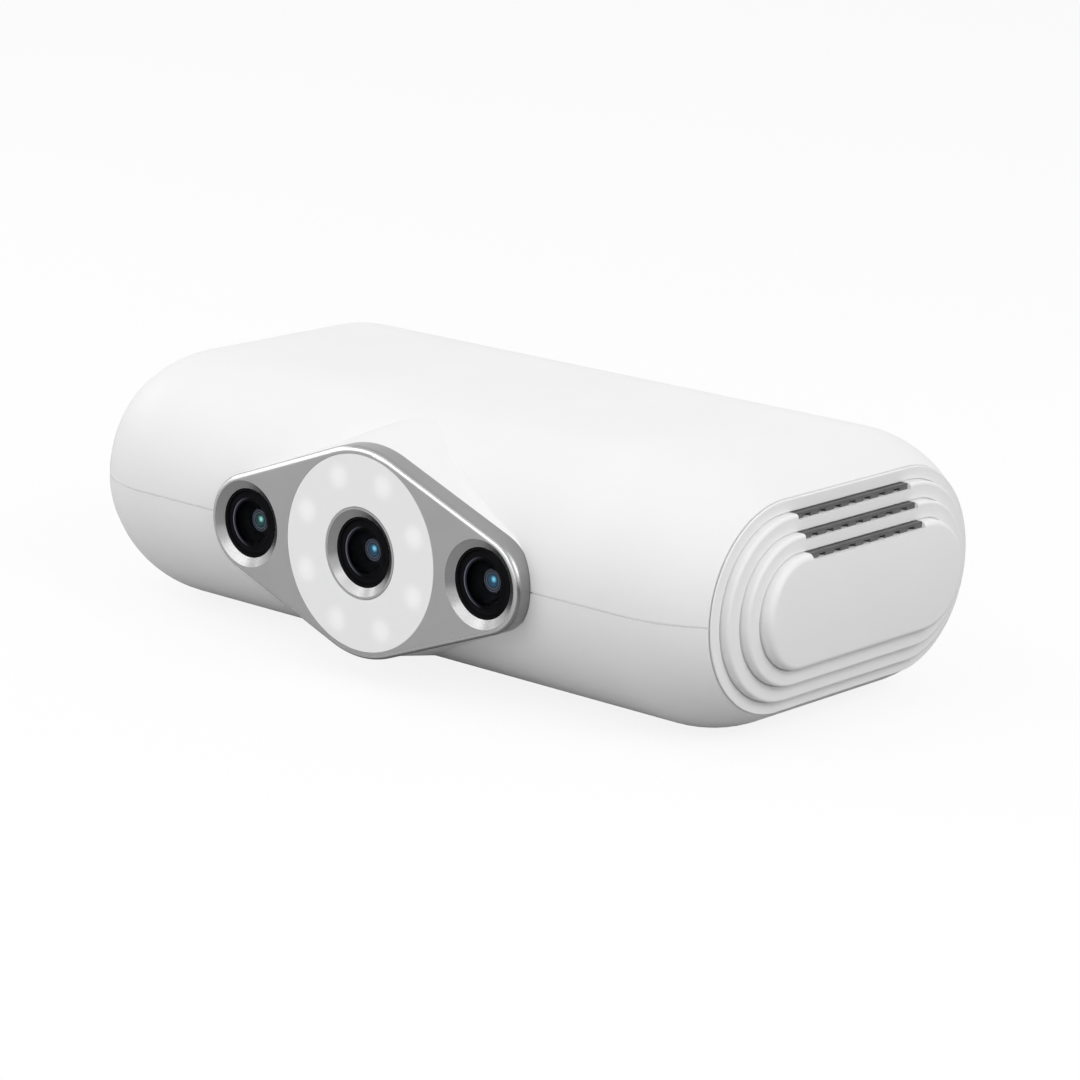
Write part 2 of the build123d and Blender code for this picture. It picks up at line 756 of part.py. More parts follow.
# Main board with its processor, heat sink and power stage
main_board = block((-board_half, board_half), (board_front, board_back), (board_bottom, board_top))
for x, y in board_places:
    main_board = main_board - rod_z(m2_clear, board_bottom, board_top, x, y)
parts["main_board"] = main_board
board_screw = screw(m2_shank, board_screw_length, m2_head, m2_head_height)
parts["board_screws"] = [Pos(x, y, board_top) * board_screw for x, y in board_places]
processor_top = board_top + processor_height
chip = Pos(0, processor_y) * Rectangle(processor_side, processor_side)
parts["processor"] = along_z(chip, board_top, processor_top)
sink_y = (processor_y - sink_width / 2, processor_y + sink_width / 2)
sink_span = (-sink_length / 2, sink_length / 2)
heat_sink = block(sink_span, sink_y, (processor_top, processor_top + sink_base))
fin_pitch = (sink_length - sink_fin) / (sink_fins - 1)
for i in range(sink_fins):
    fin_start = sink_span[0] + i * fin_pitch
    fin_z = (processor_top + sink_base, processor_top + sink_height)
    heat_sink = heat_sink + block((fin_start, fin_start + sink_fin), sink_y, fin_z)
parts["heat_sink"] = heat_sink
memory_first = connectors_back + memory_gap + memory_width / 2
memory_rows = (memory_first, memory_first + memory_spacing)
parts["memory_chips"] = [
    along_z(Pos(-memory_x, y) * Rectangle(memory_length, memory_width), board_top, board_top + memory_height)
    for y in memory_rows
]
inductor_first = connectors_back + inductor_gap + inductor_side / 2
inductor_rows = [inductor_first + k * inductor_spacing for k in range(inductor_count)]
inductor_top = board_top + inductor_height
parts["power_inductors"] = [
    along_z(Pos(inductor_x, y) * Rectangle(inductor_side, inductor_side), board_top, inductor_top)
    for y in inductor_rows
]

# Rear panel with its openings
panel_sketch = SlotOverall(rear_length - 2 * panel_gap, rear_height - 2 * panel_gap)
panel = along_y(panel_sketch, panel_inner, panel_outer)
panel = panel - rod_y(button_radius + button_gap, panel_inner, panel_outer)
panel = panel - rod_y(light_radius + bezel_gap, panel_inner, panel_outer, light_x)
data_z = board_top + data_tall / 2
power_z = board_top + power_tall / 2


def data_outline(grow):
    tall = data_tall + 2 * grow
    return Pos(data_x, data_z) * SlotOverall(data_width + 2 * grow, tall)


power_outline = Pos(power_x, power_z) * Rectangle(power_width, power_tall)
power_hole = Pos(power_x, power_z) * Rectangle(power_width + 2 * socket_gap, power_tall + 2 * socket_gap)
panel = panel - along_y(data_outline(socket_gap), panel_inner, panel_outer)
panel = panel - along_y(power_hole, panel_inner, panel_outer)
parts["rear_panel"] = panel

# Scan button, its switch and the small board behind
button = rod_y(button_radius, flange_inner, panel_outer + button_proud)
button = fillet(button.faces().sort_by(Axis.Y)[-1].edges(), button_round)
button = button + rod_y(button_flange, flange_inner, panel_inner)
button = button + rod_y(button_stem, plunger_tip, flange_inner)
parts["scan_button"] = button
switch = along_y(Rectangle(switch_side, switch_side), switch_back, switch_face)
plunger_well = plunger_tip - plunger_length - button_travel - plunger_gap
switch = switch - rod_y(plunger_radius + plunger_gap, plunger_well, switch_face)
parts["button_switch"] = switch
parts["switch_plunger"] = rod_y(plunger_radius, plunger_tip - plunger_length, plunger_tip)
button_board_x = (-button_board_length / 2, button_board_length / 2)
button_board_y = (switch_back - button_board_thickness, switch_back)
button_board_z = (board_top, board_top + button_board_tall)
parts["button_board"] = block(button_board_x, button_board_y, button_board_z)

# Status light, a clear rod in front of a small lamp
lamp_tip = switch_back + status_led_height
lamp = Pos(light_x, 0) * Rectangle(status_led_width, status_led_width)
parts["status_led"] = along_y(lamp, switch_back, lamp_tip)
pipe = rod_y(light_radius, lamp_tip, panel_outer + light_proud, light_x)
pipe = pipe + rod_y(light_flange, panel_inner - light_flange_thickness, panel_inner, light_x)
parts["status_light_pipe"] = pipe

# Data socket: a metal shell round a plastic tongue
data_back = panel_outer - data_depth
data_shell = along_y(data_outline(0), data_back, panel_outer)
data_shell = data_shell - along_y(data_outline(-data_shell_wall), data_back + data_floor, panel_outer)
parts["data_socket"] = data_shell
tongue = Pos(data_x, data_z) * Rectangle(tongue_width, tongue_tall)
tongue_back = data_back + data_floor
parts["data_tongue"] = along_y(tongue, tongue_back, tongue_back + tongue_reach)

# Power jack: a square housing round a centre pin
bore_back = panel_outer - power_bore_depth
jack = along_y(power_outline, power_back, panel_outer)
jack = jack - rod_y(power_bore, bore_back, panel_outer, power_x, power_z)
parts["power_jack"] = jack
pin_tip = bore_back + power_pin_reach
parts["power_pin"] = rod_y(power_pin_radius, bore_back, pin_tip, power_x, power_z)

# Cooling fan
fan = along_x(Rectangle(fan_side, fan_side), fan_back, fan_front)
fan = fan - rod_x(fan_bore, fan_back, fan_front)
hub_front = fan_back + fan_hub_thickness
fan = fan + rod_x(fan_hub_radius, fan_back, hub_front)
strut = along_x(Rectangle(2 * fan_bore + fan_strut, fan_strut), fan_back, hub_front)
for turn in (0, 90):
    fan = fan + Rot(turn, 0, 0) * strut
fan = fan + rod_x(bearing_radius, fan_back, hub_front + bearing_length)
fan = fan - rod_x(bearing_bore, hub_front, hub_front + bearing_length)
for y, z in fan_places:
    fan = fan - rod_x(m2_clear, fan_back, fan_front, y, z)
parts["fan_frame"] = fan
rotor_back = hub_front + rotor_gap
rotor_front = rotor_back + rotor_length
cup = rod_x(rotor_hub, rotor_back, rotor_front)
cup = cup - rod_x(rotor_hub - rotor_hub_wall, rotor_back, rotor_front - rotor_hub_wall)
shaft = rod_x(shaft_radius, rotor_front - rotor_hub_wall - shaft_length, rotor_front)
rotor_middle = (rotor_back + rotor_front) / 2
sweep_ring = rod_x(rotor_tip, rotor_back, rotor_front)
sweep_ring = sweep_ring - rod_x(rotor_hub - rotor_hub_wall / 2, rotor_back, rotor_front)
blade = Rot(0, 0, blade_angle) * Box(blade_length, blade_thickness, rotor_tip)
blade = (Pos(rotor_middle, 0, (rotor_hub + rotor_tip) / 2) * blade) & sweep_ring
rotor = cup + shaft
for i in range(blade_count):
    rotor = rotor + Rot(360 * i / blade_count, 0, 0) * blade
parts["fan_rotor"] = rotor
fan_grip = cap_plane - cap_wall - overrun - fan_back
fan_screw = Rot(0, -90, 0) * screw(m2_shank, fan_grip, m2_head, m2_head_height)
parts["fan_screws"] = [Pos(fan_back, y, z) * fan_screw for y, z in fan_places]

# Moves each piece so that the origin is the bottom centre, then writes it
to_row = Pos(0, row_y, body_radius)
for name, shape in parts.items():
    solids = shape if isinstance(shape, list) else [shape]
    moved = [to_row * solid for solid in solids]
    whole = moved[0] if len(moved) == 1 else Compound(children=[Part(s.wrapped) for s in moved])
    export_step(whole, "parts/" + name + ".step")
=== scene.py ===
import bpy
import bmesh
import math
from mathutils import Matrix, Vector


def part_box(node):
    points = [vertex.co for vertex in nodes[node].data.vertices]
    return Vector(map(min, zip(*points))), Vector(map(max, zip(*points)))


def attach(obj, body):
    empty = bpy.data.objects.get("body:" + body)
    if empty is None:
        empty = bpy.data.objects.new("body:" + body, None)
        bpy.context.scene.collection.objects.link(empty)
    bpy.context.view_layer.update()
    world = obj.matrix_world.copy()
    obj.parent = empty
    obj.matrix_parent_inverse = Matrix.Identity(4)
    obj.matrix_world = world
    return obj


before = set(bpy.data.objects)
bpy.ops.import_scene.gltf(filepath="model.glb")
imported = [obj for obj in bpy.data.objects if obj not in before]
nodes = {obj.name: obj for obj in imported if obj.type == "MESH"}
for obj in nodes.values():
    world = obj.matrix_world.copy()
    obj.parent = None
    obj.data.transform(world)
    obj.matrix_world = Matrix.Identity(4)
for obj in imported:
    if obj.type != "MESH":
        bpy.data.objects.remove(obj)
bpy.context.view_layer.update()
MM = 0.001
LENSES = ("projector", "colour", "infrared")
LENS_PITCH = 27.8 * MM
LENS_HEIGHT = 23.0 * MM

# Camera, set from a perspective fit to the photograph about the body's middle
AZIMUTH = math.radians(41.186)
ELEVATION = math.radians(14.642)
ROLL = math.radians(1.462)
DISTANCE = 723.7 * MM
FOCAL_PIXELS = 4025.0
IMAGE_PIXELS = 1080.0
SENSOR_MM = 36.0
CLIP_NEAR = 10.0 * MM
SIDE_SHIFT = 2.561 * MM
RISE_SHIFT = -5.142 * MM
BODY_MIDDLE = Vector((0.0, 1.5 * MM, 23.0 * MM))


def put(name, data):
    thing = bpy.data.objects.new(name, data)
    bpy.context.scene.collection.objects.link(thing)
    return thing


def pose(right, up, back, place):
    """A matrix from three axes and a place."""
    return Matrix((
        (right.x, up.x, back.x, place.x),
        (right.y, up.y, back.y, place.y),
        (right.z, up.z, back.z, place.z),
        (0, 0, 0, 1),
    ))


def make_camera():
    back = Vector((
        math.sin(AZIMUTH) * math.cos(ELEVATION),
        -math.cos(AZIMUTH) * math.cos(ELEVATION),
        math.sin(ELEVATION),
    ))
    level = Vector((math.cos(AZIMUTH), math.sin(AZIMUTH), 0.0))
    upright = back.cross(level)
    right = math.cos(ROLL) * level + math.sin(ROLL) * upright
    up = math.cos(ROLL) * upright - math.sin(ROLL) * level
    place = BODY_MIDDLE + back * DISTANCE + right * SIDE_SHIFT + up * RISE_SHIFT
    data = bpy.data.cameras.new("camera")
    data.sensor_width = SENSOR_MM
    data.lens = FOCAL_PIXELS / IMAGE_PIXELS * SENSOR_MM
    data.clip_start = CLIP_NEAR
    camera = put("camera", data)
    camera.matrix_world = pose(right, up, back, place)
    bpy.context.scene.camera = camera


make_camera()

# Node helpers. These are the numbers of a mix node's first, second and result sockets.
FLOAT_MIX = (2, 3, 0)
COLOUR_MIX = (6, 7, 2)
# The share of a noise's range over which a slow colour drift runs
DRIFT_FROM, DRIFT_TO = 0.3, 0.7
PLAIN_DETAIL, FINE_DETAIL, GRAIN_DETAIL = 3.0, 4.0, 2.0
NOISE_ROUGHNESS = 0.5


def grey(level):
    return (level, level, level)


def new_material(name):
    material = bpy.data.materials.new(name)
    material.use_nodes = True
    tree = material.node_tree
    shader = tree.nodes["Principled BSDF"]
    return material, tree, shader


def add(tree, kind, **values):
    node = tree.nodes.new(kind)
    for key, value in values.items():
        setattr(node, key, value)
    return node


def coords(tree, kind="Object"):
    return add(tree, "ShaderNodeTexCoord").outputs[kind]


def split(tree, vector):
    """The X, Y and Z outputs of a vector."""
    node = add(tree, "ShaderNodeSeparateXYZ")
    tree.links.new(vector, node.inputs["Vector"])
    return node.outputs


def maths(tree, operation, first, second):
    node = add(tree, "ShaderNodeMath", operation=operation)
    tree.links.new(first, node.inputs[0])
    tree.links.new(second, node.inputs[1])
    return node.outputs["Value"]


def map_range(tree, source, start, end, low=0.0, high=1.0, step="LINEAR"):
    """Takes a value between start and end to one between low and high."""
    node = add(tree, "ShaderNodeMapRange", interpolation_type=step)
    tree.links.new(source, node.inputs["Value"])
    node.inputs["From Min"].default_value = start
    node.inputs["From Max"].default_value = end
    node.inputs["To Min"].default_value = low
    node.inputs["To Max"].default_value = high
    return node.outputs["Result"]


def noise(tree, scale, detail=PLAIN_DETAIL):
    node = add(tree, "ShaderNodeTexNoise")
    tree.links.new(coords(tree), node.inputs["Vector"])
    node.inputs["Scale"].default_value = scale
    node.inputs["Detail"].default_value = detail
    node.inputs["Roughness"].default_value = NOISE_ROUGHNESS
    return node.outputs["Fac"]


def ramp(tree, source, stops):
    node = add(tree, "ShaderNodeValToRGB")
    tree.links.new(source, node.inputs["Fac"])
    elements = node.color_ramp.elements
    while len(elements) < len(stops):
        elements.new(0.5)
    for element, (place, colour) in zip(elements, stops):
        element.position = place
        element.color = (*colour, 1.0)
    return node.outputs["Color"]


def drift(tree, scale, low, high):
    """A colour that drifts slowly between two."""
    return ramp(tree, noise(tree, scale), [(DRIFT_FROM, low), (DRIFT_TO, high)])


def uneven(tree, scale, limits, detail=PLAIN_DETAIL):
    """A value that varies over a surface between two limits."""
    return map_range(tree, noise(tree, scale, detail), 0.0, 1.0, *limits)


def choose(tree, mask, first, second, sockets):
    """The first where a mask is 0 and the second where it is 1."""
    kind = "RGBA" if sockets == COLOUR_MIX else "FLOAT"
    mix = add(tree, "ShaderNodeMix", data_type=kind)
    tree.links.new(mask, mix.inputs["Factor"])
    tree.links.new(first, mix.inputs[sockets[0]])
    tree.links.new(second, mix.inputs[sockets[1]])
    return mix.outputs[sockets[2]]


def bump(tree, shader, scale, strength, distance):
    """A fine grain in the surface."""
    node = add(tree, "ShaderNodeBump")
    node.inputs["Strength"].default_value = strength
    node.inputs["Distance"].default_value = distance
    tree.links.new(noise(tree, scale, GRAIN_DETAIL), node.inputs["Height"])
    tree.links.new(node.outputs["Normal"], shader.inputs["Normal"])


def from_point(tree, x, z):
    """Distance from a line along Y through a place in the XZ plane."""
    place = split(tree, coords(tree))
    flat = add(tree, "ShaderNodeCombineXYZ")
    tree.links.new(place["X"], flat.inputs["X"])
    tree.links.new(place["Z"], flat.inputs["Z"])
    far = add(tree, "ShaderNodeVectorMath", operation="DISTANCE")
    tree.links.new(flat.outputs["Vector"], far.inputs[0])
    far.inputs[1].default_value = (x, 0.0, z)
    return far.outputs["Value"]


# Plain finishes: a slow colour drift, an uneven gloss at a finer scale and, in most, a grain
UNEVEN_TIMES = 3.1


def plain_mix(name, low, high, scale, rough, metal=0.0, grain=None, spec=0.5):
    """Colours, drift per metre, limits of roughness, and the grain's scale, strength and depth."""
    material, tree, shader = new_material(name)
    tree.links.new(drift(tree, scale, low, high), shader.inputs["Base Color"])
    gloss = uneven(tree, scale * UNEVEN_TIMES, rough, FINE_DETAIL)
    tree.links.new(gloss, shader.inputs["Roughness"])
    shader.inputs["Metallic"].default_value = metal
    shader.inputs["Specular IOR Level"].default_value = spec
    if grain:
        bump(tree, shader, *grain)
    return material


def shade(names, material):
    for name in names:
        mesh = nodes[name].data
        mesh.materials.clear()
        mesh.materials.append(material)


# Case: satin white moulding with a very fine spark texture
white = plain_mix("case_white", grey(0.855), grey(0.875), 40.0, (0.44, 0.52),
                  grain=(9000.0, 0.06, 0.03 * MM), spec=0.35)
shade(["upper_shell", "lower_shell", "left_end_cap", "right_end_cap"], white)

# Bezel and lens ring: blasted faces, side walls darker as a painted shade, edges lighter as a
# painted highlight, countersinks darker as a painted shade; edges and countersinks are also turned
# smooth. Each list gives a level by how far a facet leans: 0 faces the front, 1 is a side wall.
FACE, EDGE_PAINTED_HIGHLIGHT, WALL_PAINTED_SHADE, MOUTH_PAINTED_SHADE = 0.64, 0.80, 0.34, 0.42
FACE_LEAN = [(0.0, FACE), (0.008, FACE), (0.02, EDGE_PAINTED_HIGHLIGHT), (0.14, EDGE_PAINTED_HIGHLIGHT), (0.24, WALL_PAINTED_SHADE)]
MOUTH_LEAN = [(0.0, FACE), (0.03, FACE), (0.07, MOUTH_PAINTED_SHADE), (0.60, MOUTH_PAINTED_SHADE), (0.70, WALL_PAINTED_SHADE)]
SMOOTH_LEAN = [(0.004, 0.0), (0.03, 1.0), (0.60, 1.0), (0.70, 0.0)]
MOUTH = 7.85 * MM
CLOUD_SCALE = 120.0
CLOUD_LOW, CLOUD_HIGH = (0.96, 0.96, 0.965), grey(1.0)
BLASTED_SCALE, BLASTED_ROUGH = 370.0, (0.30, 0.37)
TURNED_SCALE, TURNED_ROUGH = 900.0, (0.23, 0.29)
METAL_GRAIN = (16000.0, 0.08, 0.02 * MM)


# A colour by how far a facet leans, which paints the highlight and shade of the lists above
def slant(tree, stops):
    lean = map_range(tree, split(tree, coords(tree, "Normal"))["Y"], -1.0, 0.0)
    return ramp(tree, lean, [(at, grey(level)) for at, level in stops])


def by_lens(tree):
    """1 within the mouth of a side lens, 0 outside."""
    left = from_point(tree, -LENS_PITCH, LENS_HEIGHT)
    right = from_point(tree, LENS_PITCH, LENS_HEIGHT)
    inside = add(tree, "ShaderNodeMath", operation="LESS_THAN")
    tree.links.new(maths(tree, "MINIMUM", left, right), inside.inputs[0])
    inside.inputs[1].default_value = MOUTH
    return inside.outputs["Value"]


def cut_metal(name, with_edge):
    material, tree, shader = new_material(name)
    colour = slant(tree, MOUTH_LEAN)
    if with_edge:
        colour = choose(tree, by_lens(tree), slant(tree, FACE_LEAN), colour, COLOUR_MIX)
    cloud = drift(tree, CLOUD_SCALE, CLOUD_LOW, CLOUD_HIGH)
    first, second, result = COLOUR_MIX
    tint = add(tree, "ShaderNodeMix", data_type="RGBA", blend_type="MULTIPLY")
    tint.inputs["Factor"].default_value = 1.0
    tree.links.new(colour, tint.inputs[first])
    tree.links.new(cloud, tint.inputs[second])
    tree.links.new(tint.outputs[result], shader.inputs["Base Color"])
    blasted = uneven(tree, BLASTED_SCALE, BLASTED_ROUGH, FINE_DETAIL)
    turned = uneven(tree, TURNED_SCALE, TURNED_ROUGH, FINE_DETAIL)
    rough = choose(tree, slant(tree, SMOOTH_LEAN), blasted, turned, FLOAT_MIX)
    tree.links.new(rough, shader.inputs["Roughness"])
    shader.inputs["Metallic"].default_value = 1.0
    bump(tree, shader, *METAL_GRAIN)
    return material


shade(["front_bezel"], cut_metal("bezel_silver", True))
shade(["centre_lens_ring"], cut_metal("ring_silver", False))

# Lens barrels and glass
black = plain_mix("barrel_black", (0.008, 0.008, 0.009), (0.012, 0.012, 0.014), 300.0,
                  (0.40, 0.52), spec=0.0)
shade([lens + "_housing" for lens in LENSES], black)

GLASS_TINT = (0.93, 0.96, 1.0)
GLASS_DIM = 0.94
GLASS_IOR = 1.01
GLASS_ROUGH = (0.0, 0.04)
FILM_SCALE = 260.0
POLISH_SCALE = 700.0


def glass_material():
    """Fully coated glass: it hardly reflects or bends, so the dark barrel shows through it."""
    material, tree, shader = new_material("lens_glass")
    low = tuple(GLASS_DIM * part for part in GLASS_TINT)
    tree.links.new(drift(tree, FILM_SCALE, low, GLASS_TINT), shader.inputs["Base Color"])
    shader.inputs["Transmission Weight"].default_value = 1.0
    shader.inputs["IOR"].default_value = GLASS_IOR
    tree.links.new(uneven(tree, POLISH_SCALE, GLASS_ROUGH), shader.inputs["Roughness"])
    return material


shade([lens + "_front_lens" for lens in LENSES] + ["projector_slide"], glass_material())

# Inner elements: a coloured core, a painted glint up and to the right of the axis, then dim rings;
# all of them glow, a painted reflection of the lens coatings
PUPIL = 2.1 * MM
PUPIL_PAINTED_GLOW = 0.70
PUPIL_ROUGH = (0.04, 0.10)
CORE_END, CORE_FADED, CORE_DIM = 0.40, 0.58, 0.35
PUPIL_RINGS = [
    (0.66, (0.040, 0.052, 0.062)), (0.74, (0.008, 0.010, 0.015)), (0.86, (0.030, 0.030, 0.042)),
    (0.93, (0.016, 0.016, 0.022)), (1.0, (0.002, 0.002, 0.003)),
]
# The painted glint: how far it sits right of and above the axis, and how far it reaches
GLINT_RIGHT, GLINT_UP, GLINT_REACH = 0.25 * MM, 0.30 * MM, 0.80 * MM
BLUE, GLINT_CYAN = (0.006, 0.040, 0.075), (0.15, 0.47, 0.62)
GREEN, GLINT_TEAL = (0.009, 0.038, 0.035), (0.21, 0.50, 0.45)


def pupil_material(name, axis_x, core, painted_glint):
    material, tree, shader = new_material(name)
    reach = map_range(tree, from_point(tree, axis_x, LENS_HEIGHT), 0.0, PUPIL)
    dim = tuple(CORE_DIM * part for part in core)
    rings = ramp(tree, reach, [(0.0, core), (CORE_END, core), (CORE_FADED, dim)] + PUPIL_RINGS)
    far = from_point(tree, axis_x + GLINT_RIGHT, LENS_HEIGHT + GLINT_UP)
    glint_mask = map_range(tree, far, 0.0, GLINT_REACH, 1.0, 0.0, "SMOOTHERSTEP")
    first, second, result = COLOUR_MIX
    mix = add(tree, "ShaderNodeMix", data_type="RGBA")
    tree.links.new(glint_mask, mix.inputs["Factor"])
    tree.links.new(rings, mix.inputs[first])
    mix.inputs[second].default_value = (*painted_glint, 1.0)
    tree.links.new(mix.outputs[result], shader.inputs["Base Color"])
    # The colours glow as painted light, though the inner lens is no lamp
    tree.links.new(mix.outputs[result], shader.inputs["Emission Color"])
    shader.inputs["Emission Strength"].default_value = PUPIL_PAINTED_GLOW
    material.cycles.emission_sampling = "NONE"
    tree.links.new(uneven(tree, POLISH_SCALE, PUPIL_ROUGH), shader.inputs["Roughness"])
    return material


shade(["projector_inner_lens"], pupil_material("inner_green_painted_glow", -LENS_PITCH, GREEN, GLINT_TEAL))
shade(["colour_inner_lens"], pupil_material("inner_blue_painted_glow", 0.0, BLUE, GLINT_CYAN))
shade(["infrared_inner_lens"], pupil_material("inner_blue_right_painted_glow", LENS_PITCH, BLUE, GLINT_CYAN))

# A black ring on the barrel's ledge holds each glass, its inner edge turned to a bevel. The profile
# gives a radius and a place along the lens axis, measured from the glass's edge.
GLASS_EDGE = 0.7 * MM
BEVEL_INNER, BEVEL_OUTER = 3.95 * MM, 4.50 * MM
RETAINER = [
    (5.58 * MM, -0.02 * MM), (5.58 * MM, -0.70 * MM), (4.90 * MM, -0.72 * MM),
    (BEVEL_OUTER, -0.92 * MM), (BEVEL_INNER, -0.84 * MM),
    (4.46 * MM, -0.60 * MM), (5.42 * MM, -0.03 * MM),
]
BEVEL_SIDE = 3
RETAINER_TURNS = 128
# The painted highlight across the bevel, from its inner edge to its outer edge
BEVEL_PAINTED_HIGHLIGHT = [
    (0.0, (0.016, 0.018, 0.028)), (0.60, (0.060, 0.062, 0.090)),
    (0.82, (0.300, 0.304, 0.380)), (1.0, (0.220, 0.222, 0.280)),
]
BEVEL_COAT_LOW, BEVEL_COAT_HIGH = (0.003, 0.003, 0.004), (0.006, 0.006, 0.007)
BEVEL_COAT_SCALE = 900.0
BEVEL_ROUGH = (0.22, 0.30)


def bevel_material(name, axis_x):
    """Dark coated metal with a painted highlight on its left half, brightest along the bevel's
    outer edge.
    """
    material, tree, shader = new_material(name)
    outward = map_range(tree, from_point(tree, axis_x, LENS_HEIGHT), BEVEL_INNER, BEVEL_OUTER)
    painted_highlight = ramp(tree, outward, BEVEL_PAINTED_HIGHLIGHT)
    coated = drift(tree, BEVEL_COAT_SCALE, BEVEL_COAT_LOW, BEVEL_COAT_HIGH)
    x = split(tree, coords(tree))["X"]
    across = map_range(tree, x, axis_x - BEVEL_OUTER, axis_x, step="SMOOTHSTEP")
    colour = choose(tree, across, painted_highlight, coated, COLOUR_MIX)
    tree.links.new(colour, shader.inputs["Base Color"])
    shader.inputs["Metallic"].default_value = 1.0
    tree.links.new(uneven(tree, POLISH_SCALE, BEVEL_ROUGH), shader.inputs["Roughness"])
    return material


def make_retainer(lens):
    """The ring's profile turned about the lens axis."""
    low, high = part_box(lens + "_front_lens")
    centre = Vector(((low[0] + high[0]) / 2, high[1] - GLASS_EDGE, (low[2] + high[2]) / 2))
    shape = bmesh.new()
    rows = []
    for i in range(RETAINER_TURNS):
        turn = 2 * math.pi * i / RETAINER_TURNS
        outward = Vector((math.cos(turn), 0.0, math.sin(turn)))
        rows.append([
            shape.verts.new(centre + outward * radius + Vector((0.0, along, 0.0)))
            for radius, along in RETAINER
        ])
    for i, here in enumerate(rows):
        after = rows[(i + 1) % RETAINER_TURNS]
        for j in range(len(RETAINER)):
            k = (j + 1) % len(RETAINER)
            face = shape.faces.new((here[j], here[k], after[k], after[j]))
            face.material_index = 1 if j == BEVEL_SIDE else 0
    bmesh.ops.recalc_face_normals(shape, faces=shape.faces)
    mesh = bpy.data.meshes.new(lens + "_retainer")
    shape.to_mesh(mesh)
    shape.free()
    mesh.materials.append(black)
    mesh.materials.append(bevel_material(lens + "_bevel", centre.x))
    piece = put(lens + "_retainer", mesh)
    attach(piece, "scanner")


for lens in LENSES:
    make_retainer(lens)

# Ring light: milky plastic, a little brighter in front of each lamp, where it also glows with
# painted light
LAMP_COUNT = 8
LAMP_CIRCLE = 13.8 * MM
LAMP_REACH = 3.4 * MM
MILK_LOW, MILK_HIGH = (0.82, 0.82, 0.825), grey(0.88)
MILK_PAINTED_GLOW = (0.10, 0.17)
MILK_SCALE, MILK_ROUGH = 900.0, (0.30, 0.38)


def lamp_glow(tree, angle):
    """1 in front of one lamp, fading to 0 at its reach."""
    x = LAMP_CIRCLE * math.cos(angle)
    z = LENS_HEIGHT + LAMP_CIRCLE * math.sin(angle)
    return map_range(tree, from_point(tree, x, z), 0.0, LAMP_REACH, 1.0, 0.0, "SMOOTHERSTEP")


def ring_material():
    material, tree, shader = new_material("ring_milk")
    angles = [math.pi * (2 * i + 1) / LAMP_COUNT for i in range(LAMP_COUNT)]
    total = lamp_glow(tree, angles[0])
    for angle in angles[1:]:
        total = maths(tree, "MAXIMUM", total, lamp_glow(tree, angle))
    milk = ramp(tree, total, [(0.0, MILK_LOW), (1.0, MILK_HIGH)])
    tree.links.new(milk, shader.inputs["Base Color"])
    # Painted glow: the milk gives off light though it is no lamp
    shader.inputs["Emission Color"].default_value = (*grey(1.0), 1.0)
    material.cycles.emission_sampling = "NONE"
    painted_milk_glow = map_range(tree, total, 0.0, 1.0, *MILK_PAINTED_GLOW)
    tree.links.new(painted_milk_glow, shader.inputs["Emission Strength"])
    tree.links.new(uneven(tree, MILK_SCALE, MILK_ROUGH), shader.inputs["Roughness"])
    return material


shade(["ring_diffuser"], ring_material())

# Everything inside and behind
board = plain_mix("board_green", (0.012, 0.060, 0.030), (0.020, 0.090, 0.045), 600.0, (0.30, 0.45),
                  grain=(3000.0, 0.1, 0.03 * MM))
shade([name for name in nodes if name.endswith("_board")], board)
steel = plain_mix("screw_steel", (0.42, 0.42, 0.43), (0.52, 0.52, 0.53), 900.0, (0.25, 0.36),
                  metal=1.0, grain=(9000.0, 0.06, 0.02 * MM))
shade([name for name in nodes if name.endswith("_screws")] + ["data_socket"], steel)
cast = plain_mix("blasted_metal", (0.50, 0.50, 0.51), (0.58, 0.58, 0.59), 300.0, (0.38, 0.48),
                 metal=1.0, grain=(8000.0, 0.2, 0.03 * MM))
shade(["optical_bench", "heat_sink", "projector_heat_sink"], cast)
chip = plain_mix("chip_black", (0.012, 0.012, 0.013), (0.022, 0.022, 0.024), 700.0, (0.42, 0.55),
                 grain=(7000.0, 0.12, 0.03 * MM))
shade(["processor", "memory_chips", "power_inductors", "colour_sensor", "infrared_sensor"], chip)
shade(["button_switch", "switch_plunger", "data_tongue", "power_jack"], chip)
shade(["fan_frame", "fan_rotor"], chip)
ribbon = plain_mix("ribbon_pale", (0.66, 0.66, 0.64), (0.74, 0.74, 0.72), 500.0, (0.40, 0.50))
shade([lens + "_ribbon" for lens in LENSES], ribbon)
ivory = plain_mix("connector_ivory", (0.58, 0.53, 0.42), (0.66, 0.60, 0.49), 500.0, (0.45, 0.55))
shade(["ribbon_connectors"], ivory)
lamp = plain_mix("lamp_white", (0.84, 0.82, 0.72), (0.90, 0.88, 0.78), 900.0, (0.30, 0.40))
shade(["ring_leds", "projector_emitter", "status_led"], lamp)
panel = plain_mix("panel_grey", (0.52, 0.52, 0.525), (0.57, 0.57, 0.575), 80.0, (0.42, 0.52),
                  grain=(5000.0, 0.2, 0.04 * MM))
shade(["rear_panel"], panel)
